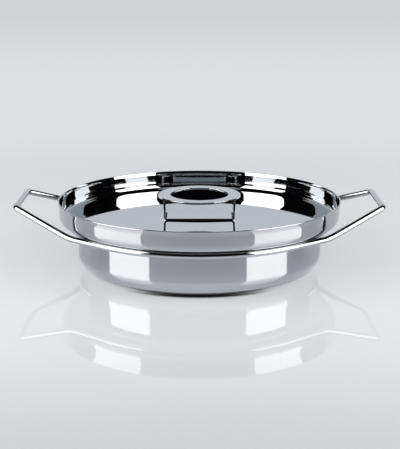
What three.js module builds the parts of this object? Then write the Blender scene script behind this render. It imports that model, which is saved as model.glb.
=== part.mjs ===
// Saute pan with two wire loop handles and a dish-shaped lid, all in polished steel.
// Millimetres, +Z up. The origin is on the table, under the middle of the pan.
// +X runs from handle to handle. The lid rests on the front and rear arcs of the wire frame.
import * as THREE from "three";

// Pan shell
const BODY_RADIUS = 121;
const BODY_SHEET = 1;
const BODY_CORNER = 16;
const FLANGE_TOP = 45.1;
const NECK_RADIUS = 3;
const INNER_CORNER = 10;

// Heat-spreading base: an aluminium disc inside a steel cap
const BASE_HEIGHT = 5.2;
const CAP_SHEET = 0.8;

// Wire frame: an arc in front, an arc behind, and a loop handle at each side
const WIRE_RADIUS = 3;
const FRAME_OVERHANG = 13.5;
const FOLD_STANDOFF = 8.2;
const FOLD_BEARING = THREE.MathUtils.degToRad(31.2);
const FOLD_BLEND = 8;
const HANDLE_LENGTH = 42.8;
const HANDLE_HALF_WIDTH = 37;
const HANDLE_CORNER = 6;
const HANDLE_RISE = 21.5;

// Weld beads between the frame and the flange
const BEAD_RADIUS = 1.3;
const BEAD_LENGTH = 14;
const BEADS_PER_SIDE = 3;
const BEAD_SPACING = THREE.MathUtils.degToRad(24);

// Lid: a shallow dish that opens upwards, with a sagging floor and a lip that flares out at the rim
const LID_SHEET = 1.2;
const LID_HEIGHT = 20;
const LID_CORNER = 2.5;
const LID_FLARE = THREE.MathUtils.degToRad(2.3);
const LID_SAG = 2.2;
const LID_OVERHANG = 0.25;
const LIP_HEIGHT = 3.5;
const LIP_FLARE = THREE.MathUtils.degToRad(10);
const LIP_BEND = 25;

// The inner arcs of the bend from the lid's floor to its wall, each flatter than the one below it
const LID_BEND = [
  { radius: LID_CORNER, endFlare: THREE.MathUtils.degToRad(26) },
  { radius: 8, endFlare: THREE.MathUtils.degToRad(7.5) },
  { radius: 26, endFlare: LID_FLARE },
];

// Lid knob: a flat ring on a strip bent into a U
const RING_OUTER = 40.8;
const RING_HOLE = 28.8;
const RING_THICKNESS = 2;
const RING_EDGE = 0.5;
const KNOB_HEIGHT = 24.6;
const STRIP_WIDTH = 25;
const STRIP_SHEET = 2;
const STRIP_BEND = 3.8;
const LEG_LEAN = THREE.MathUtils.degToRad(2);
const LEG_BEAD_RADIUS = 0.9;
const LEG_BEAD_MARGIN = 3;

// Clearance between pieces that are welded, stacked or seated on each other
const GAP = 0.3;

// Fineness of the round forms
const TURN_SEGMENTS = 64;
const ARC_STEPS = 6;
const EDGE_STEPS = 3;
const SAG_STEPS = 8;
const WIRE_SIDES = 12;
const FRAME_ARC_STEPS = 7;
const FOLD_STEPS = 5;
const BEAD_SIDES = 8;
const BEAD_STEPS = 4;

// Heights and radii that follow from the sizes above
const FLAT_RADIUS = BODY_RADIUS - BODY_CORNER;
const FRAME_RADIUS = BODY_RADIUS + FRAME_OVERHANG;
const FLANGE_BOTTOM = FLANGE_TOP - BODY_SHEET;
const FLANGE_RADIUS = FRAME_RADIUS - WIRE_RADIUS - GAP;
const WIRE_HEIGHT = FLANGE_TOP;
const HANDLE_REACH = FRAME_RADIUS + HANDLE_LENGTH;

// The bend between the lid's floor and wall sits on top of the wire, a little outside the wire's middle.
const LID_SEAT_REACH = LID_CORNER + LID_SHEET + GAP + WIRE_RADIUS;
const LID_BEND_RADIUS = FRAME_RADIUS + LID_OVERHANG;
const LID_BEND_HEIGHT = WIRE_HEIGHT + sideOfTriangle(LID_SEAT_REACH, LID_OVERHANG);
const LID_RIM = LID_BEND_HEIGHT - LID_CORNER - LID_SHEET + LID_HEIGHT;

// The lid's floor is part of a large sphere that runs on smoothly into the bend.
const LID_FLOOR_SLOPE = 2 * Math.atan(LID_SAG / LID_BEND_RADIUS);
const LID_SPHERE_REACH = LID_BEND_RADIUS / Math.sin(LID_FLOOR_SLOPE);
const LID_SPHERE_HEIGHT = LID_BEND_HEIGHT + LID_SPHERE_REACH * Math.cos(LID_FLOOR_SLOPE);

// The strip is flat, so its outermost corners touch the sagging floor first.
const RING_MIDDLE = (RING_OUTER + RING_HOLE) / 2;
const STRIP_BOTTOM = lidFloorAt(Math.hypot(RING_MIDDLE, STRIP_WIDTH / 2)) + GAP;
const RING_TOP = lidFloorAt(0) + KNOB_HEIGHT;
const RING_BOTTOM = RING_TOP - RING_THICKNESS;
const LEG_TOP = RING_BOTTOM - GAP;

function sideOfTriangle(hypotenuse, otherSide) {
  return Math.sqrt(hypotenuse ** 2 - otherSide ** 2);
}

// Height of the lid's upper surface at a distance from the axis.
function lidFloorAt(distance) {
  return LID_SPHERE_HEIGHT - sideOfTriangle(LID_SPHERE_REACH + LID_CORNER, distance);
}

function polishedSteel() {
  return new THREE.MeshStandardMaterial({ color: 0xc6c9cc, roughness: 0.06, metalness: 1 });
}

function bareAluminium() {
  return new THREE.MeshStandardMaterial({ color: 0xb4b7ba, roughness: 0.45, metalness: 1 });
}

function named(name, geometry, material) {
  const mesh = new THREE.Mesh(geometry, material);
  mesh.name = name;
  return mesh;
}

// Points of an arc in a profile plane. Angles run anticlockwise from the outward direction.
function arc(centreX, centreY, radius, startAngle, endAngle, steps) {
  return Array.from({ length: steps + 1 }, (unused, i) => {
    const angle = startAngle + ((endAngle - startAngle) * i) / steps;
    return new THREE.Vector2(centreX + radius * Math.cos(angle), centreY + radius * Math.sin(angle));
  });
}

// A profile of radius against height, turned about the Z axis.
function turned(profile) {
  return new THREE.LatheGeometry(profile, TURN_SEGMENTS).rotateX(Math.PI / 2);
}

// Angle on the pan's round bottom corner, from straight down, where a sheet of that radius is at a height.
function cornerAngle(radius, height) {
  return Math.acos((BODY_CORNER - height) / radius);
}

function panBody() {
  const straightDown = -Math.PI / 2;
  const seam = straightDown + cornerAngle(BODY_CORNER, BASE_HEIGHT);
  const neckX = BODY_RADIUS + NECK_RADIUS;
  const neckY = FLANGE_BOTTOM - NECK_RADIUS;
  const innerRadius = BODY_RADIUS - BODY_SHEET;
  const floor = BASE_HEIGHT + BODY_SHEET;
  return turned([
    new THREE.Vector2(0, BASE_HEIGHT),
    ...arc(FLAT_RADIUS, BODY_CORNER, BODY_CORNER, seam, 0, ARC_STEPS),
    ...arc(neckX, neckY, NECK_RADIUS, Math.PI, Math.PI / 2, EDGE_STEPS),
    new THREE.Vector2(FLANGE_RADIUS, FLANGE_BOTTOM),
    new THREE.Vector2(FLANGE_RADIUS, FLANGE_TOP),
    ...arc(neckX, neckY, NECK_RADIUS + BODY_SHEET, Math.PI / 2, Math.PI, EDGE_STEPS),
    ...arc(innerRadius - INNER_CORNER, floor + INNER_CORNER, INNER_CORNER, 0, straightDown, ARC_STEPS),
    new THREE.Vector2(0, floor),
  ]);
}

function baseCap() {
  const straightDown = -Math.PI / 2;
  const capTop = BASE_HEIGHT - GAP;
  const innerRadius = BODY_CORNER - CAP_SHEET;
  const outerEnd = straightDown + cornerAngle(BODY_CORNER, capTop);
  const innerEnd = straightDown + cornerAngle(innerRadius, capTop);
  return turned([
    new THREE.Vector2(0, 0),
    ...arc(FLAT_RADIUS, BODY_CORNER, BODY_CORNER, straightDown, outerEnd, ARC_STEPS),
    ...arc(FLAT_RADIUS, BODY_CORNER, innerRadius, innerEnd, straightDown, ARC_STEPS),
    new THREE.Vector2(0, CAP_SHEET),
  ]);
}

function baseCore() {
  const bottom = CAP_SHEET + GAP;
  const top = BASE_HEIGHT - GAP;
  return turned([
    new THREE.Vector2(0, bottom),
    new THREE.Vector2(FLAT_RADIUS, bottom),
    new THREE.Vector2(FLAT_RADIUS, top),
    new THREE.Vector2(0, top),
  ]);
}

// One quarter of the frame, from the middle of the rear arc to the middle of the right handle.
// The arc runs on as a tangent to the fold, where the wire turns up into the handle's straight leg.
function frameQuarter() {
  const foldRadius = FRAME_RADIUS + FOLD_STANDOFF;
  const fold = new THREE.Vector2(foldRadius * Math.cos(FOLD_BEARING), foldRadius * Math.sin(FOLD_BEARING));
  const leaveAngle = FOLD_BEARING + Math.acos(FRAME_RADIUS / foldRadius);
  const legFacing = Math.atan2(HANDLE_REACH - fold.x, fold.y - HANDLE_HALF_WIDTH);
  const legSlope = HANDLE_RISE / (HANDLE_REACH - fold.x);
  const level = (p) => new THREE.Vector3(p.x, p.y, WIRE_HEIGHT);
  const risen = (p) => new THREE.Vector3(p.x, p.y, WIRE_HEIGHT + legSlope * (p.x - fold.x));
  const pastFold = (facing, distance) =>
    new THREE.Vector2(fold.x + distance * Math.sin(facing), fold.y - distance * Math.cos(facing));
  const foldBend = new THREE.QuadraticBezierCurve3(
    level(pastFold(leaveAngle, -FOLD_BLEND)),
    level(fold),
    risen(pastFold(legFacing, FOLD_BLEND)),
  );
  const bendX = HANDLE_REACH - HANDLE_CORNER;
  const bendY = fold.y + ((fold.x - bendX) * Math.cos(legFacing) - HANDLE_CORNER) / Math.sin(legFacing);
  return [
    ...arc(0, 0, FRAME_RADIUS, Math.PI / 2, leaveAngle, FRAME_ARC_STEPS).map(level),
    ...foldBend.getPoints(FOLD_STEPS),
    ...arc(bendX, bendY, HANDLE_CORNER, legFacing, 0, EDGE_STEPS + 1).map(risen),
  ];
}

// The whole frame as a closed run of points, the quarter mirrored to the other three.
function framePoints() {
  const quarter = frameQuarter();
  const back = [...quarter].reverse();
  const mirrored = (points, signX, signY) =>
    points.map((p) => new THREE.Vector3(signX * p.x, signY * p.y, p.z));
  return [
    ...quarter,
    ...mirrored(back, 1, -1),
    ...mirrored(quarter.slice(1), -1, -1),
    ...mirrored(back.slice(0, -1), -1, 1),
  ];
}

// A closed curve that steps from one given point to the next.
class ClosedRun extends THREE.Curve {
  constructor(points) {
    super();
    this.points = points;
  }

  pointNumber(index) {
    const count = this.points.length;
    return this.points[((index % count) + count) % count];
  }

  getPointAt(share, target = new THREE.Vector3()) {
    return target.copy(this.pointNumber(Math.round(share * this.points.length)));
  }

  getTangentAt(share, target = new THREE.Vector3()) {
    const index = Math.round(share * this.points.length);
    const before = this.pointNumber(index).clone().sub(this.pointNumber(index - 1)).normalize();
    const after = this.pointNumber(index + 1).clone().sub(this.pointNumber(index)).normalize();
    return target.copy(before).add(after).normalize();
  }
}

function handleFrame() {
  const points = framePoints();
  return new THREE.TubeGeometry(new ClosedRun(points), points.length, WIRE_RADIUS, WIRE_SIDES, true);
}

// A short weld bead under the flange, in the corner between the flange and the wire.
function frameBead(bearing) {
  const height = FLANGE_BOTTOM - GAP - BEAD_RADIUS;
  const radius = FRAME_RADIUS - sideOfTriangle(WIRE_RADIUS + GAP + BEAD_RADIUS, WIRE_HEIGHT - height);
  const halfSpan = BEAD_LENGTH / radius / 2;
  const run = arc(0, 0, radius, bearing - halfSpan, bearing + halfSpan, BEAD_STEPS);
  const path = new THREE.CatmullRomCurve3(run.map((p) => new THREE.Vector3(p.x, p.y, height)));
  const section = new THREE.Shape(arc(0, 0, BEAD_RADIUS, 0, 2 * Math.PI, BEAD_SIDES).slice(0, -1));
  return new THREE.ExtrudeGeometry(section, { steps: BEAD_STEPS, extrudePath: path });
}

function frameBeads() {
  const meshes = [];
  for (const [side, middle] of [["front", -Math.PI / 2], ["rear", Math.PI / 2]]) {
    for (let i = 0; i < BEADS_PER_SIDE; i += 1) {
      const bearing = middle + (i - (BEADS_PER_SIDE - 1) / 2) * BEAD_SPACING;
      meshes.push(named(`frame_weld_${side}_${i + 1}`, frameBead(bearing), polishedSteel()));
    }
  }
  return meshes;
}

// The bend of the lid's face that lies at a distance outside the inner face, from the floor to the wall.
function lidBend(offset) {
  const points = [];
  const centre = new THREE.Vector2(LID_BEND_RADIUS, LID_BEND_HEIGHT);
  let angle = LID_FLOOR_SLOPE - Math.PI / 2;
  let radiusBelow = LID_CORNER;
  for (const { radius, endFlare } of LID_BEND) {
    const shift = radiusBelow - radius;
    centre.add(new THREE.Vector2(shift * Math.cos(angle), shift * Math.sin(angle)));
    points.push(...arc(centre.x, centre.y, radius + offset, angle, -endFlare, EDGE_STEPS).slice(1));
    angle = -endFlare;
    radiusBelow = radius;
  }
  return points;
}

// The lip's bend, about a centre outside the wall, from the wall's flare to the lip's.
function lidLip(offset) {
  const wallFoot = lidBend(0).pop();
  const foldHeight = LID_RIM - LIP_HEIGHT;
  const foldRadius = wallFoot.x + (foldHeight - wallFoot.y) * Math.tan(LID_FLARE);
  const reach = LIP_BEND / Math.cos((LIP_FLARE - LID_FLARE) / 2);
  const middle = (LIP_FLARE + LID_FLARE) / 2;
  const centreX = foldRadius + reach * Math.cos(middle);
  const centreY = foldHeight - reach * Math.sin(middle);
  return arc(centreX, centreY, LIP_BEND - offset, Math.PI - LID_FLARE, Math.PI - LIP_FLARE, EDGE_STEPS);
}

// One face of the lid's sheet, from the axis along the floor, round the bend and up the wall to the lip.
function lidFace(offset) {
  const straightDown = -Math.PI / 2;
  const sphere = LID_SPHERE_REACH + LID_CORNER + offset;
  return [
    new THREE.Vector2(0, LID_SPHERE_HEIGHT - sphere),
    ...arc(0, LID_SPHERE_HEIGHT, sphere, straightDown, straightDown + LID_FLOOR_SLOPE, SAG_STEPS).slice(1),
    ...lidBend(offset),
    ...lidLip(offset),
  ];
}

function lidDish() {
  const outside = lidFace(LID_SHEET);
  const inside = lidFace(0);
  const rimRadius = LID_SHEET / 2;
  const rimHeight = LID_RIM - rimRadius;
  const lipStart = outside[outside.length - 1];
  const lipEnd = lipStart.x + (rimHeight - lipStart.y) * Math.tan(LIP_FLARE);
  const rimX = lipEnd - rimRadius / Math.cos(LIP_FLARE);
  return turned([
    ...outside,
    ...arc(rimX, rimHeight, rimRadius, -LIP_FLARE, Math.PI - LIP_FLARE, EDGE_STEPS + 1),
    ...inside.reverse(),
  ]);
}

// Half-width of the strip's legs at a height, measured to a surface that lies inside the outer bend.
function legHalfWidth(depth, height) {
  const middleBend = STRIP_BEND - STRIP_SHEET / 2;
  const centreY = STRIP_BOTTOM + STRIP_BEND;
  const centreX =
    RING_MIDDLE - middleBend / Math.cos(LEG_LEAN) - (LEG_TOP - centreY) * Math.tan(LEG_LEAN);
  return centreX + (STRIP_BEND - depth) / Math.cos(LEG_LEAN) + (height - centreY) * Math.tan(LEG_LEAN);
}

function knobBridge() {
  const centreY = STRIP_BOTTOM + STRIP_BEND;
  const centreX = legHalfWidth(STRIP_BEND, centreY);
  const rightSide = (radius) => [
    ...arc(centreX, centreY, radius, -Math.PI / 2, -LEG_LEAN, ARC_STEPS),
    new THREE.Vector2(legHalfWidth(STRIP_BEND - radius, LEG_TOP), LEG_TOP),
  ];
  const outer = rightSide(STRIP_BEND);
  const inner = rightSide(STRIP_BEND - STRIP_SHEET);
  const mirrored = (points) => points.map((p) => new THREE.Vector2(-p.x, p.y));
  const outline = [
    ...outer,
    ...[...inner].reverse(),
    ...mirrored(inner),
    ...mirrored(outer).reverse(),
  ];
  const geometry = new THREE.ExtrudeGeometry(new THREE.Shape(outline), {
    depth: STRIP_WIDTH,
    bevelEnabled: false,
  });
  return geometry.translate(0, 0, -STRIP_WIDTH / 2).rotateX(Math.PI / 2);
}

function knobRing() {
  const right = RING_OUTER - RING_EDGE;
  const left = RING_HOLE + RING_EDGE;
  const low = RING_BOTTOM + RING_EDGE;
  const high = RING_TOP - RING_EDGE;
  const quarter = Math.PI / 2;
  const profile = [
    ...arc(left, low, RING_EDGE, 2 * quarter, 3 * quarter, EDGE_STEPS),
    ...arc(right, low, RING_EDGE, -quarter, 0, EDGE_STEPS),
    ...arc(right, high, RING_EDGE, 0, quarter, EDGE_STEPS),
    ...arc(left, high, RING_EDGE, quarter, 2 * quarter, EDGE_STEPS),
  ];
  return turned([...profile, profile[0].clone()]);
}

// A weld bead inside the knob, in the corner between a leg and the ring above it.
function legBead(side) {
  const height = RING_BOTTOM - GAP - LEG_BEAD_RADIUS;
  const offset = (LEG_BEAD_RADIUS + GAP) / Math.cos(LEG_LEAN);
  const length = STRIP_WIDTH - 2 * LEG_BEAD_MARGIN;
  const geometry = new THREE.CylinderGeometry(LEG_BEAD_RADIUS, LEG_BEAD_RADIUS, length, BEAD_SIDES);
  return geometry.translate(side * (legHalfWidth(STRIP_SHEET, height) - offset), 0, height);
}

const pan = new THREE.Group();
pan.add(
  named("pan_body", panBody(), polishedSteel()),
  named("base_core", baseCore(), bareAluminium()),
  named("base_cap", baseCap(), polishedSteel()),
  named("handle_frame", handleFrame(), polishedSteel()),
  ...frameBeads(),
);

const lid = new THREE.Group();
lid.add(
  named("lid_dish", lidDish(), polishedSteel()),
  named("knob_bridge", knobBridge(), polishedSteel()),
  named("knob_ring", knobRing(), polishedSteel()),
  named("knob_weld_left", legBead(-1), polishedSteel()),
  named("knob_weld_right", legBead(1), polishedSteel()),
);

const sautePan = new THREE.Group();
sautePan.add(pan, lid);

export default sautePan;
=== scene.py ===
# %% [markdown]
# # A saute pan in mirror-polished steel
#
# The pan has a low drawn shell, a capped base, a wire frame that forms two loop handles, and a loose lid
# shaped like a shallow dish with a ring for a knob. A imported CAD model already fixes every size, place and
# motion. This lesson builds the looks around it: the same pieces again, but turned and bent finely enough
# for mirror polish, because a mirror shows each flat facet of a coarse mesh.

import math

import bmesh
import bpy
from mathutils import Matrix, Vector


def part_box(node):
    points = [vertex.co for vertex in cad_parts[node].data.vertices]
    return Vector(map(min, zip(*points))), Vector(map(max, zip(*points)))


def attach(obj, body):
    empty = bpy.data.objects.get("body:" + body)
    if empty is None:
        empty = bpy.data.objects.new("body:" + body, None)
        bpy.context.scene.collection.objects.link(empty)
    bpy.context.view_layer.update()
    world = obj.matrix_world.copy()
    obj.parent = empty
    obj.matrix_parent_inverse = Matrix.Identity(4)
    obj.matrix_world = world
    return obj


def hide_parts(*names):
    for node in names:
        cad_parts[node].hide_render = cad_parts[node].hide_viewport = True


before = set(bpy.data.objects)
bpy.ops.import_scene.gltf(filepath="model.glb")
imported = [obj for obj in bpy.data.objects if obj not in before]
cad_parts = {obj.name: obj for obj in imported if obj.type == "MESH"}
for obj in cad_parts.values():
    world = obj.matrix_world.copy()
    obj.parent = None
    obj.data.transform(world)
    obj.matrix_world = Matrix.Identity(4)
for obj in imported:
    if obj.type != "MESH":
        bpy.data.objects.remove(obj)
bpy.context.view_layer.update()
print("CAD nodes:", ", ".join(sorted(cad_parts)))

# %% [markdown]
# ## Shader maths as plain expressions
#
# A finish is a small calculation: take the place on the surface, turn it into a pattern, and feed the
# pattern to the roughness or the colour. It could be drawn by hand in the node editor. Here one class wraps
# a node's output, so that `1 - haze` or `x * x + y * y` adds the Math nodes itself, and its method `node`
# adds any other node.

# %% A socket that can be calculated with
# Places of the Mix node's colour sockets, which share their names with its other sockets
MIX_FACTOR, MIX_FIRST, MIX_SECOND, MIX_RESULT = 0, 6, 7, 2


class Signal:
    """One output of a node tree. Arithmetic on it adds Math nodes."""

    def __init__(self, tree, socket=None):
        self.tree = tree
        self.socket = socket

    def node(self, kind, settings=None, sockets=None, output=0):
        """Adds a node: its settings first, then the values or links of its sockets."""
        made = self.tree.nodes.new(kind)
        for name, value in (settings or {}).items():
            setattr(made, name, value)
        for key, value in (sockets or {}).items():
            if isinstance(value, Signal):
                self.tree.links.new(value.socket, made.inputs[key])
            else:
                made.inputs[key].default_value = value
        return Signal(self.tree, made.outputs[output]) if made.outputs else made

    def math(self, operation, first, second=0.0):
        return self.node("ShaderNodeMath", {"operation": operation}, {0: first, 1: second})

    def __add__(self, other):
        return self.math("ADD", self, other)

    def __radd__(self, other):
        return self.math("ADD", other, self)

    def __sub__(self, other):
        return self.math("SUBTRACT", self, other)

    def __rsub__(self, other):
        return self.math("SUBTRACT", other, self)

    def __mul__(self, other):
        return self.math("MULTIPLY", self, other)

    def __rmul__(self, other):
        return self.math("MULTIPLY", other, self)


def new_material(name):
    """An empty node material and the signal that its first node starts from."""
    material = bpy.data.materials.new(name)
    material.use_nodes = True
    material.node_tree.nodes.clear()
    return material, Signal(material.node_tree)


def colour_mix(signal, factor, first, second):
    """A colour between two others."""
    sockets = {MIX_FACTOR: factor, MIX_FIRST: first, MIX_SECOND: second}
    return signal.node("ShaderNodeMix", {"data_type": "RGBA"}, sockets, output=MIX_RESULT)


print("Signal is ready")

# %% [markdown]
# ## Mirror polish
#
# Polished stainless steel is a grey mirror, very slightly blue. Up close it isn't perfect: the buffing
# wheel leaves a faint haze in soft clouds and hair-fine marks that run round a turned piece. A plain metal
# with one roughness would look like liquid. So the roughness wanders with a noise, the fine marks are a
# second noise that is stretched round the axis, and both stay so weak that the reflections keep their
# edges.

# %% Steel finishes
STEEL_LIGHT = (0.442, 0.458, 0.480, 1.0)
STEEL_DARK = (0.409, 0.425, 0.445, 1.0)
HAZE_SCALE = 38.0
HAZE_DETAIL = 3.0
MARK_SCALE = 1400.0
MARK_DETAIL = 2.0
ROUGHNESS_HAZE_SHARE = 0.6
COLOUR_HAZE_SHARE = 0.5


def round_marks(signal, place, scale):
    """Noise that is drawn out into rings round the Z axis, as a turning or buffing tool leaves it."""
    x, y, z = (signal.node("ShaderNodeSeparateXYZ", None, {0: place}, output=axis) for axis in "XYZ")
    radius = signal.math("SQRT", x * x + y * y)
    rings = signal.node("ShaderNodeCombineXYZ", None, {"X": radius * scale, "Z": z * scale})
    return signal.node("ShaderNodeTexNoise", None, {"Vector": rings, "Scale": 1.0, "Detail": MARK_DETAIL})


def steel_finish(name, low, high, mark_depth, mark_scale=MARK_SCALE):
    """Steel whose roughness lies between low and high, with round marks of a given depth in metres."""
    material, signal = new_material(name)
    place = signal.node("ShaderNodeTexCoord", output="Object")
    haze = signal.node("ShaderNodeTexNoise", None, {
        "Vector": place, "Scale": HAZE_SCALE, "Detail": HAZE_DETAIL,
    })
    marks = round_marks(signal, place, mark_scale)

    def pattern(haze_share):
        return haze_share * haze + (1 - haze_share) * marks

    roughness = low + (high - low) * pattern(ROUGHNESS_HAZE_SHARE)
    colour = colour_mix(signal, pattern(COLOUR_HAZE_SHARE), STEEL_DARK, STEEL_LIGHT)
    bump = signal.node("ShaderNodeBump", None, {"Distance": mark_depth, "Height": marks})
    steel = signal.node("ShaderNodeBsdfPrincipled", None, {
        "Base Color": colour, "Metallic": 1.0, "Roughness": roughness, "Normal": bump,
    })
    signal.node("ShaderNodeOutputMaterial", None, {"Surface": steel})
    return material


MIRROR = steel_finish("mirror_steel", low=0.015, high=0.045, mark_depth=4e-7)
WALL_POLISH = steel_finish("wall_polish", low=0.045, high=0.09, mark_depth=8e-7)
WIRE_POLISH = steel_finish("wire_polish", low=0.02, high=0.06, mark_depth=4e-7)
SATIN = steel_finish("satin_inside", low=0.20, high=0.32, mark_depth=4e-6, mark_scale=2200.0)
TURNED_BASE = steel_finish("turned_base", low=0.24, high=0.40, mark_depth=1.2e-5, mark_scale=1100.0)
WELD_STEEL = steel_finish("weld_steel", low=0.12, high=0.30, mark_depth=1e-5, mark_scale=900.0)
print("steel finishes:", ", ".join(m.name for m in bpy.data.materials if m.users == 0))

# %% [markdown]
# ## Bare aluminium
#
# The disc inside the base spreads the heat. It is rolled aluminium, rough and slightly streaked, and the
# steel cap hides it. The CAD node stays, and only its material is new.

# %% Aluminium for the hidden disc
ALUMINIUM_LIGHT = (0.66, 0.66, 0.67, 1.0)
ALUMINIUM_DARK = (0.50, 0.50, 0.52, 1.0)
ALUMINIUM_ROUGHNESS = 0.35
STREAK_ROUGHNESS = 0.2
STREAK_SCALE = (20.0, 900.0, 900.0)
STREAK_DETAIL = 3.0


def rolled_aluminium():
    """Aluminium with streaks along X, the direction of rolling."""
    material, signal = new_material("rolled_aluminium")
    place = signal.node("ShaderNodeTexCoord", output="Object")
    stretched = signal.node("ShaderNodeMapping", None, {"Vector": place, "Scale": STREAK_SCALE})
    streaks = signal.node("ShaderNodeTexNoise", None, {
        "Vector": stretched, "Scale": 1.0, "Detail": STREAK_DETAIL,
    })
    metal = signal.node("ShaderNodeBsdfPrincipled", None, {
        "Base Color": colour_mix(signal, streaks, ALUMINIUM_DARK, ALUMINIUM_LIGHT),
        "Metallic": 1.0,
        "Roughness": ALUMINIUM_ROUGHNESS + STREAK_ROUGHNESS * streaks,
    })
    signal.node("ShaderNodeOutputMaterial", None, {"Surface": metal})
    return material


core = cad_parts["base_core"]
core.data.materials.clear()
core.data.materials.append(rolled_aluminium())
print("base_core now has", core.data.materials[0].name)

# %% [markdown]
# ## From a bmesh to a piece
#
# Every piece ends in the same way. Doubles are merged, normals are turned outwards, and the mesh is shaded
# smooth. A Weighted Normal modifier lets the large faces decide the shading, so a flat floor stays a flat
# mirror right up to the round corner beside it. Then the piece is tied to its CAD body and takes the place
# of its CAD node.

# %% Finish a piece
MM = 0.001
MERGE_DISTANCE = 1e-6
LARGE_FACE_WEIGHT = 100


def finish_piece(name, bm, body, node, finishes, finish_of_face=None):
    """Makes an object of the bmesh, which rides on a body and stands for a CAD node."""
    bmesh.ops.remove_doubles(bm, verts=bm.verts[:], dist=MERGE_DISTANCE)
    bmesh.ops.recalc_face_normals(bm, faces=bm.faces[:])
    bm.normal_update()
    for face in bm.faces:
        face.smooth = True
        if finish_of_face:
            face.material_index = finish_of_face(face)
    open_edges = sum(1 for edge in bm.edges if len(edge.link_faces) != 2)
    mesh = bpy.data.meshes.new(name)
    bm.to_mesh(mesh)
    bm.free()
    for finish in finishes:
        mesh.materials.append(finish)
    piece = bpy.data.objects.new(name, mesh)
    bpy.context.scene.collection.objects.link(piece)
    normals = piece.modifiers.new("flat_stays_flat", "WEIGHTED_NORMAL")
    normals.weight = LARGE_FACE_WEIGHT
    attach(piece, body)
    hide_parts(node)
    print(f"{name}: {len(mesh.polygons)} faces, {open_edges} open edges, stands for {node}")


print("finish_piece is ready")

# %% [markdown]
# ## Turned pieces
#
# The shell, the base cap, the lid and the knob's ring are all round about one axis. A cylinder could be
# edited into each of them, but a maker thinks of the section: a few straight runs with round corners
# between them. So a section is drawn with sharp corners, a vertex bevel rounds each corner to its radius,
# and a full spin turns it.

# %% Draw a section and turn it
TURN_STEPS = 384
CORNER_STEPS = 10
LONGEST_STEP = 3 * MM
ROUND_PROFILE = 0.5
KEEP_MATERIAL = -1


def bevel_corners(bm, corners, offset, steps):
    """Rounds corners, starting at an offset from each of them."""
    bmesh.ops.bevel(
        bm, geom=corners, offset=offset, offset_type="OFFSET", affect="VERTICES",
        segments=steps, profile=ROUND_PROFILE, material=KEEP_MATERIAL,
    )


def round_corner(bm, corner, radius):
    """Rounds one corner of a run of edges to a radius."""
    before, after = ((edge.other_vert(corner).co - corner.co) for edge in corner.link_edges)
    turn = math.pi - before.angle(after)
    steps = max(CORNER_STEPS, round(radius * turn / LONGEST_STEP))
    bevel_corners(bm, [corner], radius * math.tan(turn / 2), steps)


def turned_section(corners, closed=False):
    """A bmesh of the section, given as (radius, height, corner radius), turned about the Z axis."""
    bm = bmesh.new()
    points = [bm.verts.new((radius, 0, height)) for radius, height, _ in corners]
    for pair in zip(points, points[1:]):
        bm.edges.new(pair)
    if closed:
        bm.edges.new((points[-1], points[0]))
    for point, (_, _, rounding) in zip(points, corners):
        if rounding:
            round_corner(bm, point, rounding)
    bmesh.ops.spin(
        bm, geom=bm.verts[:] + bm.edges[:], cent=(0, 0, 0), axis=(0, 0, 1),
        angle=2 * math.pi, steps=TURN_STEPS, use_merge=True,
    )
    return bm


print("a turned section gets", TURN_STEPS, "steps round the axis")

# %% [markdown]
# ## The pan's shell
#
# The shell is drawn from one sheet: a flat floor, a large round corner outside, a straight wall and a level
# flange that carries the wire frame. Its outside is polished, a little less sharply than the lid. Its
# inside, which shows when the lid is lifted, keeps the fine satin lines of the turning, as cooking surfaces
# usually do.

# %% Turn the shell
SHELL_SHEET = 1.0 * MM
SHELL_CORNER = 16 * MM
SHELL_INNER_CORNER = 10 * MM
NECK = 3 * MM
SHEET_EDGE = 0.3 * MM
LEVEL_TOLERANCE = 0.01

shell_low, shell_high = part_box("pan_body")
flat_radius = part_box("base_core")[1].x
shell_radius = flat_radius + SHELL_CORNER
inner_radius = shell_radius - SHELL_SHEET
base_height, flange_top, flange_radius = shell_low.z, shell_high.z, shell_high.x
flange_bottom = flange_top - SHELL_SHEET
inner_floor = base_height + SHELL_SHEET


def on_base_corner(height, radius):
    """Angle from straight down at which the base's round corner has reached a height."""
    return math.acos((SHELL_CORNER - height) / radius)


seam_angle = on_base_corner(base_height, SHELL_CORNER)
shell_section = [
    (0, base_height, 0),
    (flat_radius + SHELL_CORNER * math.sin(seam_angle), base_height, SHEET_EDGE),
    (shell_radius, SHELL_CORNER * (1 - math.tan((math.pi / 2 - seam_angle) / 2)), SHELL_CORNER),
    (shell_radius, flange_bottom, NECK),
    (flange_radius, flange_bottom, SHEET_EDGE),
    (flange_radius, flange_top, SHEET_EDGE),
    (inner_radius, flange_top, NECK + SHELL_SHEET),
    (inner_radius, inner_floor, SHELL_INNER_CORNER),
    (0, inner_floor, 0),
]


def inside_of_shell(face):
    """1 on the cooking surface, 0 elsewhere."""
    middle = face.calc_center_median()
    radial = Vector((middle.x, middle.y, 0)).normalized()
    faces_in = face.normal.z > -LEVEL_TOLERANCE and face.normal.dot(radial) < LEVEL_TOLERANCE
    return int(faces_in and middle.z < flange_bottom)


finish_piece(
    "pan_shell", turned_section(shell_section), "pan", "pan_body", [WALL_POLISH, SATIN], inside_of_shell,
)

# %% [markdown]
# ## The base cap
#
# A thin steel cap closes the base over the aluminium disc and carries the pan's round corner on down to the
# table. A hair-thin seam stays between cap and shell. The outside is polished with the wall, and the flat
# underneath is turned to fine rings, so that it sits well on a hob.

# %% Turn the base cap
CAP_SHEET = 0.8 * MM
CAP_EDGE = 0.2 * MM

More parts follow.
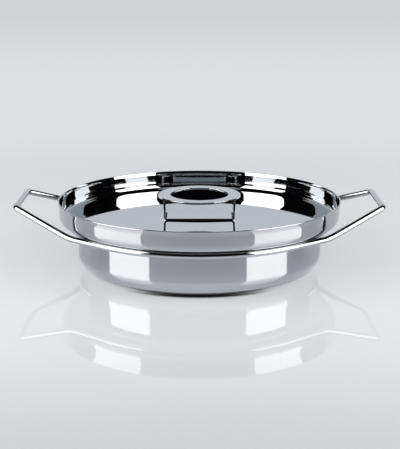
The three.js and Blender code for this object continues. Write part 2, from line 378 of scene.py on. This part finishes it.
cap_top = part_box("base_cap")[1].z
cap_inner_corner = SHELL_CORNER - CAP_SHEET
cap_angle = on_base_corner(cap_top, SHELL_CORNER)
cap_inner_angle = on_base_corner(cap_top, cap_inner_corner)
cap_section = [
    (0, 0, 0),
    (flat_radius + SHELL_CORNER * math.tan(cap_angle / 2), 0, SHELL_CORNER),
    (flat_radius + SHELL_CORNER * math.sin(cap_angle), cap_top, CAP_EDGE),
    (flat_radius + cap_inner_corner * math.sin(cap_inner_angle), cap_top, CAP_EDGE),
    (flat_radius + cap_inner_corner * math.tan(cap_inner_angle / 2), CAP_SHEET, cap_inner_corner),
    (0, CAP_SHEET, 0),
]


def underside(face):
    """1 on the flat that stands on the table, 0 elsewhere."""
    return int(face.normal.z < LEVEL_TOLERANCE - 1)


finish_piece(
    "base_cover", turned_section(cap_section), "pan", "base_cap", [WALL_POLISH, TURNED_BASE], underside,
)

# %% [markdown]
# ## The lid
#
# The lid is a dish that opens upwards and stands with its bend on the wire frame. Its floor isn't quite
# flat: it sags by about 2 mm towards the middle, as part of a large sphere. A flat mirror would show the
# knob's ring upside down at the front, and the sag turns that reflection out of sight. The floor runs into
# the wall through three arcs, each flatter than the one below it, as in a sheet that is spun over a former,
# and near the rim the wall flares into a short lip. A single round corner would be simpler, but the arcs
# and the lip draw the fine dark lines in the mirrored wall. So each face of the sheet is a run of arcs
# without a kink between them, and each arc is drawn as a rounded corner.

# %% Turn the lid
LID_SHEET = 1.2 * MM
LID_SAG = 2.2 * MM
LID_BEND_INSET = 2.75 * MM
LID_LEAN = math.radians(2.3)
LID_BEND = [(2.5 * MM, math.radians(26)), (8 * MM, math.radians(7.5)), (26 * MM, LID_LEAN)]
LIP_HEIGHT = 3.5 * MM
LIP_LEAN = math.radians(10)
LIP_ROUNDING = 25 * MM
RIM_ROUNDING = 0.5 * MM

lid_low, lid_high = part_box("lid_dish")
lid_corner = LID_BEND[0][0]
lip_height = lid_high.z - LIP_HEIGHT
bend_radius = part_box("handle_frame")[1].y - LID_BEND_INSET
bend_middle = Vector((bend_radius, 0, lid_low.z + LID_SHEET + LID_SAG + lid_corner))
floor_slope = 2 * math.atan(LID_SAG / bend_radius)
sphere_reach = bend_radius / math.sin(floor_slope)
sphere_middle = Vector((0, 0, bend_middle.z + sphere_reach * math.cos(floor_slope)))


def in_direction(angle, length):
    """A step in the section's plane, at an angle from the outward direction."""
    return Vector((length * math.cos(angle), 0, length * math.sin(angle)))


def sharp_corner(middle, radius, first, last):
    """The corner that a rounding about this middle takes off, from the first angle to the last."""
    corner = middle + in_direction((first + last) / 2, radius / math.cos((last - first) / 2))
    return (corner.x, corner.z, radius)


def lid_face(offset):
    """The corners of one face of the sheet, from the axis to the rim, at an offset from the inner face."""
    straight_down = -math.pi / 2
    angle = straight_down + floor_slope
    sphere = sphere_reach + lid_corner + offset
    corners = [(0, sphere_middle.z - sphere, 0), sharp_corner(sphere_middle, sphere, straight_down, angle)]
    middle, radius_below = bend_middle, lid_corner
    for radius, lean in LID_BEND:
        middle = middle + in_direction(angle, radius_below - radius)
        corners.append(sharp_corner(middle, radius + offset, angle, -lean))
        angle, radius_below = -lean, radius
    wall_foot = middle + in_direction(angle, radius_below)
    lip_x = wall_foot.x + (lip_height - wall_foot.z) * math.tan(LID_LEAN)
    lip_foot = sharp_corner(Vector((lip_x, 0, lip_height)), offset, -LIP_LEAN, -LID_LEAN)[:2]
    rim_x = lip_x + LIP_HEIGHT * math.tan(LIP_LEAN) + offset / math.cos(LIP_LEAN)
    return corners + [(*lip_foot, LIP_ROUNDING - offset), (rim_x, lid_high.z, RIM_ROUNDING)]


def lid_floor_at(distance):
    """Height of the lid's upper surface at a distance from the axis."""
    return sphere_middle.z - math.sqrt((sphere_reach + lid_corner) ** 2 - distance ** 2)


lid_section = lid_face(LID_SHEET) + lid_face(0)[::-1]
finish_piece("lid_bowl", turned_section(lid_section), "lid", "lid_dish", [MIRROR])

# %% [markdown]
# ## The knob's ring
#
# A flat ring is what the fingers hold. It is a washer with eased edges, so its section is a small closed
# rectangle with four rounded corners.

# %% Turn the ring
RING_HOLE = 28.8 * MM
RING_EDGE = 0.5 * MM

ring_low, ring_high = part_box("knob_ring")
ring_section = [
    (RING_HOLE, ring_low.z, RING_EDGE),
    (ring_high.x, ring_low.z, RING_EDGE),
    (ring_high.x, ring_high.z, RING_EDGE),
    (RING_HOLE, ring_high.z, RING_EDGE),
]
finish_piece("knob_top", turned_section(ring_section, closed=True), "lid", "knob_ring", [MIRROR])

# %% [markdown]
# ## Bent pieces
#
# The wire frame and the knob's strip are made on a bending machine, which knows two moves: feed a length
# straight on, and bend towards a new heading round a radius. A curve with a bevel could draw the same wire.
# The machine's own two moves are clearer, because each number is one that a workshop would set, and both
# are one bmesh spin.


# %% A bending machine
class Bender:
    """Feeds and bends the section that the bmesh holds at the start."""

    def __init__(self, bm, place, heading):
        self.bm = bm
        self.place = Vector(place)
        self.heading = Vector(heading).normalized()
        facing = self.heading.to_track_quat("Z", "Y").to_matrix().to_4x4()
        bmesh.ops.transform(bm, matrix=Matrix.Translation(self.place) @ facing, verts=bm.verts[:])
        self.rim = bm.verts[:] + bm.edges[:]

    def sweep(self, steps, **motion):
        """Draws the section along a motion and keeps hold of its new end."""
        self.rim = bmesh.ops.spin(self.bm, geom=self.rim, steps=steps, **motion)["geom_last"]

    def feed(self, length):
        """Goes straight on."""
        self.sweep(1, cent=self.place, axis=(0, 0, 1), angle=0, dvec=self.heading * length)
        self.place = self.place + self.heading * length

    def bend(self, heading, radius, steps):
        """Turns towards a new heading round a radius."""
        new_heading = Vector(heading).normalized()
        axis = self.heading.cross(new_heading).normalized()
        angle = self.heading.angle(new_heading)
        centre = self.place + radius * axis.cross(self.heading)
        self.sweep(steps, cent=centre, axis=axis, angle=angle)
        self.place = centre + Matrix.Rotation(angle, 3, axis) @ (self.place - centre)
        self.heading = new_heading

    def swell(self, factor):
        """Makes the section at the end larger or smaller."""
        ends = [item for item in self.rim if isinstance(item, bmesh.types.BMVert)]
        bmesh.ops.scale(self.bm, vec=(factor,) * 3, space=Matrix.Translation(-self.place), verts=ends)

    def close(self):
        """Fills the end."""
        edges = [item for item in self.rim if isinstance(item, bmesh.types.BMEdge)]
        bmesh.ops.edgeloop_fill(self.bm, edges=edges)


def mirrored(bm, axis):
    """Adds the mirror image of everything in the bmesh."""
    whole = bm.verts[:] + bm.edges[:] + bm.faces[:]
    bmesh.ops.mirror(bm, geom=whole, matrix=Matrix.Identity(4), merge_dist=MERGE_DISTANCE, axis=axis)


def tangent_length(first, second, radius):
    """How far before and after a corner a bend of that radius begins and ends."""
    return radius * math.tan(Vector(first).angle(Vector(second)) / 2)


print("the bender feeds, bends, swells and closes")

# %% [markdown]
# ## The wire frame
#
# One 6 mm wire runs round the pan. In front and behind it follows the rim. Towards each side it leaves the
# rim as a straight tangent, folds up, and runs as a straight leg to the handle's bar. The four quarters are
# alike, so one is bent, from the middle of the rear arc to the middle of the right handle, and the mirror
# makes the rest.

# %% Bend the frame
WIRE = 3 * MM
WIRE_SIDES = 56
RIM_ARC_STEPS = 144
WIRE_BEND_STEPS = 14
FOLD_STANDOFF = 8.2 * MM
FOLD_BEARING = math.radians(31.2)
FOLD_TANGENT = 8 * MM
HANDLE_HALF_WIDTH = 37 * MM
HANDLE_CORNER = 6 * MM

wire_low, wire_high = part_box("handle_frame")
wire_height = wire_low.z + WIRE
frame_radius = wire_high.y - WIRE
handle_tip = Vector((wire_high.x - WIRE, HANDLE_HALF_WIDTH, wire_high.z - WIRE))
fold_radius = frame_radius + FOLD_STANDOFF
fold = Vector((fold_radius * math.cos(FOLD_BEARING), fold_radius * math.sin(FOLD_BEARING), wire_height))
leave_angle = FOLD_BEARING + math.acos(frame_radius / fold_radius)
along_tangent = Vector((math.sin(leave_angle), -math.cos(leave_angle), 0))
along_leg = (handle_tip - fold).normalized()
along_bar = Vector((0, -1, 0))
fold_bend = FOLD_TANGENT / math.tan(along_tangent.angle(along_leg) / 2)
corner_tangent = tangent_length(along_leg, along_bar, HANDLE_CORNER)

wire = bmesh.new()
bmesh.ops.create_circle(wire, segments=WIRE_SIDES, radius=WIRE)
bender = Bender(wire, (0, frame_radius, wire_height), (1, 0, 0))
bender.bend(along_tangent, frame_radius, RIM_ARC_STEPS)
bender.feed((fold - bender.place).length - FOLD_TANGENT)
bender.bend(along_leg, fold_bend, WIRE_BEND_STEPS)
bender.feed((handle_tip - fold).length - FOLD_TANGENT - corner_tangent)
bender.bend(along_bar, HANDLE_CORNER, WIRE_BEND_STEPS)
bender.feed(bender.place.y)
print("the bender stopped", round(bender.place.y / MM, 3), "mm from the handle's middle")
mirrored(wire, "Y")
mirrored(wire, "X")
finish_piece("wire_frame", wire, "pan", "handle_frame", [WIRE_POLISH])

# %% [markdown]
# ## The knob's strip
#
# A flat strip, bent into a U, lifts the ring off the lid's floor. It is spot-welded to the lid, so nothing
# shows of the joint. The section is a thin rectangle with eased edges, and the same bender feeds it from
# the middle to one side. The mirror adds the other half.

# %% Bend the strip
STRIP_WIDTH = 25 * MM
STRIP_SHEET = 2 * MM
STRIP_EASE = 0.15 * MM
STRIP_BEND = 2.8 * MM
STRIP_BEND_STEPS = 10
LEG_LEAN = math.radians(2)
SEAT_GAP = 0.02 * MM


def eased_rectangle(width, thickness, ease):
    """A closed loop of edges: a rectangle with rounded corners, lying in the XY plane."""
    bm = bmesh.new()
    half_width, half_thickness = width / 2, thickness / 2
    signs = [(-1, -1), (1, -1), (1, 1), (-1, 1)]
    corners = [bm.verts.new((sx * half_width, sy * half_thickness, 0)) for sx, sy in signs]
    for first, second in zip(corners, corners[1:] + corners[:1]):
        bm.edges.new((first, second))
    for corner in corners:
        round_corner(bm, corner, ease)
    return bm


leg_top = Vector(((ring_high.x + RING_HOLE) / 2, 0, ring_low.z - SEAT_GAP))
strip_seat = lid_floor_at(math.hypot(leg_top.x, STRIP_WIDTH / 2))
strip_middle = strip_seat + SEAT_GAP + STRIP_SHEET / 2
along_leg_up = Vector((math.sin(LEG_LEAN), 0, math.cos(LEG_LEAN)))
leg_height = leg_top.z - strip_middle
foot = Vector((leg_top.x - leg_height * math.tan(LEG_LEAN), 0, strip_middle))
strip_tangent = tangent_length((1, 0, 0), along_leg_up, STRIP_BEND)

strip = eased_rectangle(STRIP_WIDTH, STRIP_SHEET, STRIP_EASE)
bender = Bender(strip, (0, 0, strip_middle), (1, 0, 0))
bender.feed(foot.x - strip_tangent)
bender.bend(along_leg_up, STRIP_BEND, STRIP_BEND_STEPS)
bender.feed((leg_top - foot).length - strip_tangent)
bender.close()
mirrored(strip, "X")
finish_piece("knob_strip", strip, "lid", "knob_bridge", [MIRROR])

# %% [markdown]
# ## Weld beads
#
# Six short beads in the corner under the flange's edge hold the wire to the pan, and one holds each leg of
# the strip to the ring. A bead is a run of small frozen ripples. A plain capsule would look like a rubber
# plug, so the bender sweeps a small circle that swells and shrinks at each ripple.

# %% Sweep the beads
BEAD_SIDES = 14
FRAME_BEAD = 1.45 * MM
FRAME_BEAD_LENGTH = 14 * MM
KNOB_BEAD = 1.1 * MM
RIPPLES = 7
RIPPLE_SIZES = [1.0, 0.9]
END_SIZES = [0.45, 0.8]
BEAD_SIZES = END_SIZES + RIPPLE_SIZES * RIPPLES + END_SIZES[::-1]


def rippled_bead(radius, place, heading, advance):
    """Sweeps a bead. The function advance moves the bender on by half a ripple."""
    bm = bmesh.new()
    bmesh.ops.create_circle(bm, cap_ends=True, segments=BEAD_SIDES, radius=radius * BEAD_SIZES[0])
    bead = Bender(bm, place, heading)
    for before, size in zip(BEAD_SIZES, BEAD_SIZES[1:]):
        advance(bead)
        bead.swell(size / before)
    bead.close()
    return bm


bead_moves = len(BEAD_SIZES) - 1
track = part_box("frame_weld_rear_2")[1].y - FRAME_BEAD
step = FRAME_BEAD_LENGTH / track / bead_moves
onward = Matrix.Rotation(step, 3, "Z")
for node in sorted(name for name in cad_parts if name.startswith("frame_weld")):
    low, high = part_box(node)
    middle = (low + high) / 2
    bearing = math.atan2(middle.y, middle.x)
    start = bearing - step * bead_moves / 2
    bead_place = (track * math.cos(start), track * math.sin(start), middle.z)
    finish_piece(
        node.replace("weld", "bead"),
        rippled_bead(
            FRAME_BEAD, bead_place, (-math.sin(start), math.cos(start), 0),
            lambda bead: bead.bend(onward @ bead.heading, track, 1),
        ),
        "pan", node, [WELD_STEEL],
    )
for node in ("knob_weld_left", "knob_weld_right"):
    low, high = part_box(node)
    middle = (low + high) / 2
    finish_piece(
        node.replace("weld", "bead"),
        rippled_bead(
            KNOB_BEAD, (middle.x, low.y, middle.z), (0, 1, 0),
            lambda bead: bead.feed((high.y - low.y) / bead_moves),
        ),
        "lid", node, [WELD_STEEL],
    )

# %% [markdown]
# ## The table
#
# The pan stands on a pale sheet that is painted darker towards the camera, as painted shade where less lamp
# light reaches it. In front of the pan it is glossy and mirrors it, and behind the pan it is matt, so that
# the steel doesn't show the lamps a second time in the sheet. A plain glossy surface would mirror too much
# of the dark studio, because it is seen at a low angle.
# So for camera rays a share of plain pale colour is mixed in, which grows to the full amount far from the
# pan, and which is painted darker towards the camera as the sheet is. It gives no light to the pan. Where
# the pan's round corner comes down to the sheet at the front, hardly any light gets in, so the sheet is
# painted dark there as a painted shadow. Just outside that gap the sheet has a painted glow that only glossy
# rays see, which brightens the corner above it in the steel.

# %% Lay the table
TABLE_SIZE = 14.0
TABLE_COLOUR = (0.661, 0.694, 0.736, 1.0)
# Painted shade: the sheet's colour towards the camera, where less lamp light falls
TABLE_FRONT_SHADE = (0.50, 0.528, 0.558, 1.0)
TABLE_ROUGHNESS = 0.03
TABLE_IOR = 1.49
PALE_SHARE = 0.45
# Painted shadow: the dark that the sheet is painted where the pan's round corner meets it at the front
PAINTED_GAP_SHADOW = (0.05, 0.05, 0.055, 1.0)
# Painted glow: light that the sheet gives off beside the pan, seen only in the steel's reflections
PAINTED_GLOW_COLOUR = (0.26, 0.26, 0.27, 1.0)
NO_PAINTED_GLOW = (0.0, 0.0, 0.0, 1.0)
NEAR_BACKGROUND = (0.735, 0.745, 0.775, 1.0)
FAR_BACKGROUND = (0.62, 0.65, 0.67, 1.0)
# Painted shade: the pale background's colour towards the camera, darker like the sheet
FRONT_SHADED_BACKGROUND = (0.56, 0.57, 0.59, 1.0)

# Where one look fades into the next, in metres from the axis towards the camera
GLOSS_FADE = (-0.02, 0.06)
GAP_START_FADE = (0.085, 0.108)
FRONT_SHADE_FADE = (0.15, 0.5)

# The same, in metres from the axis in any direction
GAP_END_FADE = (0.111, 0.118)
PAINTED_GLOW_FADE = (0.13, 0.22)
SHARE_FADE = (0.35, 0.9)
FAR_FADE = (0.8, 5.0)


def between(signal, value, ends):
    """0 below the first end, 1 above the last, and a smooth step between them."""
    settings = {"interpolation_type": "SMOOTHSTEP"}
    sockets = {"Value": value, "From Min": ends[0], "From Max": ends[1]}
    return signal.node("ShaderNodeMapRange", settings, sockets)


def glossy_sheet():
    """The table's material."""
    material, signal = new_material("glossy_sheet")
    place = signal.node("ShaderNodeTexCoord", output="Object")
    distance = signal.node("ShaderNodeVectorMath", {"operation": "LENGTH"}, {0: place}, output="Value")
    towards_camera = -1.0 * signal.node("ShaderNodeSeparateXYZ", None, {0: place}, output="Y")
    # Painted shade towards the camera, in the sheet and in its pale background
    front = between(signal, towards_camera, FRONT_SHADE_FADE)
    past_the_gap = between(signal, distance, GAP_END_FADE)
    # Painted shadow under the pan's round corner at the front, where the pale share is also left out
    in_gap_shadow = between(signal, towards_camera, GAP_START_FADE) * (1 - past_the_gap)
    open_colour = colour_mix(signal, front, TABLE_COLOUR, TABLE_FRONT_SHADE)
    colour = colour_mix(signal, in_gap_shadow, open_colour, PAINTED_GAP_SHADOW)
    matt = signal.node("ShaderNodeBsdfDiffuse", None, {"Color": colour})
    mirrored_in_steel = signal.node("ShaderNodeLightPath", output="Is Glossy Ray")
    # Painted glow that only glossy rays see, fading out away from the pan; it brightens the pan's corner in
    # reflections
    painted_glow = mirrored_in_steel * (1 - in_gap_shadow) * (1 - between(signal, distance, PAINTED_GLOW_FADE))
    glossy = signal.node("ShaderNodeBsdfPrincipled", None, {
        "Base Color": colour, "Roughness": TABLE_ROUGHNESS, "IOR": TABLE_IOR,
        "Emission Color": colour_mix(signal, painted_glow, NO_PAINTED_GLOW, PAINTED_GLOW_COLOUR), "Emission Strength": 1.0,
    })
    before_the_pan = between(signal, towards_camera, GLOSS_FADE)
    surface = signal.node("ShaderNodeMixShader", None, {0: before_the_pan, 1: matt, 2: glossy})
    far = between(signal, distance, FAR_FADE)
    far_colour = colour_mix(signal, far, NEAR_BACKGROUND, FAR_BACKGROUND)
    background = signal.node("ShaderNodeEmission", None, {
        "Color": colour_mix(signal, front, far_colour, FRONT_SHADED_BACKGROUND),
    })
    seen = signal.node("ShaderNodeLightPath", output="Is Camera Ray")
    far_share = (1 - PALE_SHARE) * between(signal, distance, SHARE_FADE)
    share = seen * (1 - in_gap_shadow) * (PALE_SHARE + far_share)
    both = signal.node("ShaderNodeMixShader", None, {0: share, 1: surface, 2: background})
    signal.node("ShaderNodeOutputMaterial", None, {"Surface": both})
    return material


def stage_sheet(name, bm, material, to_place=Matrix.Identity(4)):
    """A flat stage object, which isn't part of the pan."""
    bmesh.ops.transform(bm, matrix=to_place, verts=bm.verts[:])
    mesh = bpy.data.meshes.new(name)
    bm.to_mesh(mesh)
    bm.free()
    mesh.materials.append(material)
    sheet = bpy.data.objects.new(name, mesh)
    bpy.context.scene.collection.objects.link(sheet)
    return sheet


table = bmesh.new()
bmesh.ops.create_grid(table, x_segments=1, y_segments=1, size=TABLE_SIZE / 2)
stage_sheet("table", table, glossy_sheet())
print("the table is", TABLE_SIZE, "m wide")

# %% [markdown]
# ## Softboxes and backdrop
#
# A mirror shows the studio, so the lamps are part of the look. Two large softboxes stand at the front
# corners, two slim ones hang behind them, and a pale backdrop with a raised wing at each side closes the
# rear. A dim round panel overhead keeps the lid from looking black when it is seen from above. Between them
# the studio is dark, which gives the polished steel its black stripes. The camera sees only the reflections
# of the lamps.

# %% Set up the lamps
LAMP_CORNER = 0.05
LAMP_CORNER_STEPS = 6
BACKDROP_DISTANCE = 1.5
BACKDROP_TOP = 1.3
OVERHEAD_HEIGHT = 2.0
OVERHEAD_RADIUS = 0.6
OVERHEAD_SIDES = 64

# Colour and strength of a panel's light
LAMP_LIGHT = ((1.0, 0.964, 0.929, 1.0), 6.05)
BACKDROP_LIGHT = ((0.913, 0.962, 1.0, 1.0), 0.884)


def glow(name, colour, strength):
    """A material that shines evenly."""
    material, signal = new_material(name)
    lit = signal.node("ShaderNodeEmission", None, {"Color": colour, "Strength": strength})
    signal.node("ShaderNodeOutputMaterial", None, {"Surface": lit})
    return material


def lit_panel(name, bm, light, to_place):
    """A shining stage sheet that the camera sees only in reflections."""
    panel = stage_sheet(name, bm, glow(name + "_light", *light), to_place)
    panel.visible_camera = False


def softbox(name, bearings, distance, heights, light):
    """An upright lit panel between two bearings, which are degrees from the camera's side, towards +X."""
    first, last = bearings
    bottom, top = heights
    bm = bmesh.new()
    middle = math.radians((first + last) / 2)
    width = 2 * distance * math.tan(math.radians(abs(last - first)) / 2)
    bmesh.ops.create_grid(bm, x_segments=1, y_segments=1, size=0.5)
    bmesh.ops.scale(bm, vec=(width, top - bottom, 1), verts=bm.verts[:])
    bevel_corners(bm, bm.verts[:], LAMP_CORNER, LAMP_CORNER_STEPS)
    upright = Matrix.Rotation(math.radians(90), 4, "X")
    outward = Matrix.Translation((0, -distance, (bottom + top) / 2))
    lit_panel(name, bm, light, Matrix.Rotation(middle, 4, "Z") @ outward @ upright)
    print(f"{name}: {width:.2f} m wide, {top - bottom:.2f} m high")


softbox("front_softbox_right", bearings=(41.3, 83.5), distance=0.9, heights=(0.0, 0.86), light=LAMP_LIGHT)
softbox("front_softbox_left", bearings=(-43.5, -86), distance=0.8, heights=(0.0, 0.77), light=LAMP_LIGHT)
for side, sign in (("right", 1), ("left", -1)):
    softbox(
        f"rear_softbox_{side}", bearings=(sign * 119, sign * 137.5), distance=2.0,
        heights=(0.38, 0.5), light=LAMP_LIGHT,
    )
    softbox(
        f"backdrop_wing_{side}", bearings=(sign * 125, sign * 151), distance=BACKDROP_DISTANCE,
        heights=(0.36, BACKDROP_TOP), light=BACKDROP_LIGHT,
    )
softbox(
    "backdrop", bearings=(150, 210), distance=BACKDROP_DISTANCE,
    heights=(0.0, BACKDROP_TOP), light=BACKDROP_LIGHT,
)

overhead = bmesh.new()
bmesh.ops.create_circle(overhead, cap_ends=True, segments=OVERHEAD_SIDES, radius=OVERHEAD_RADIUS)
lit_panel("overhead_panel", overhead, BACKDROP_LIGHT, Matrix.Translation((0, 0, OVERHEAD_HEIGHT)))
print(f"overhead_panel: {2 * OVERHEAD_RADIUS:.2f} m wide")

# %% [markdown]
# ## The room
#
# Away from the lamps the studio is dark, so the world is nearly black to reflections and gives some fill to
# matt surfaces. The camera sees it pale, through Light Path's Is Camera Ray, as a plain studio wall.

# %% Paint the room
ROOM_PALE = (0.70, 0.71, 0.73, 1.0)
ROOM_DARK = (0.004, 0.004, 0.005, 1.0)
ROOM_FILL = (0.504, 0.486, 0.478, 1.0)

world = bpy.data.worlds.new("studio_room")
world.use_nodes = True
world.node_tree.nodes.clear()
room = Signal(world.node_tree)
seen_by_camera = room.node("ShaderNodeLightPath", output="Is Camera Ray")
fills = room.node("ShaderNodeLightPath", output="Is Diffuse Ray")
room_colour = colour_mix(room, seen_by_camera, colour_mix(room, fills, ROOM_DARK, ROOM_FILL), ROOM_PALE)
walls = room.node("ShaderNodeBackground", None, {"Color": room_colour, "Strength": 1.0})
room.node("ShaderNodeOutputWorld", None, {"Surface": walls})
bpy.context.scene.world = world
bpy.context.scene.view_settings.view_transform = "Standard"
print("the room is", world.name)

# %% [markdown]
# ## The camera
#
# The photograph was taken with a long lens from a little above the table, looking down by about 14 degrees.
# The lens follows from the picture: at 1080 pixels of focal length, a long side of 449 pixels stands for
# the 36 mm sensor.

# %% Place the camera
FOCAL_PIXELS = 1080.0
LONG_SIDE_PIXELS = 449.0
SENSOR = 36.0
CAMERA_PLACE = (0.0006, -1.052, 0.3015)
CAMERA_PITCH = math.radians(13.93)

lens = bpy.data.cameras.new("camera")
lens.sensor_width = SENSOR
lens.lens = FOCAL_PIXELS / LONG_SIDE_PIXELS * SENSOR
camera = bpy.data.objects.new("camera", lens)
camera.location = CAMERA_PLACE
camera.rotation_euler = (math.pi / 2 - CAMERA_PITCH, 0, 0)
bpy.context.scene.collection.objects.link(camera)
bpy.context.scene.camera = camera
print(f"lens {lens.lens:.1f} mm")
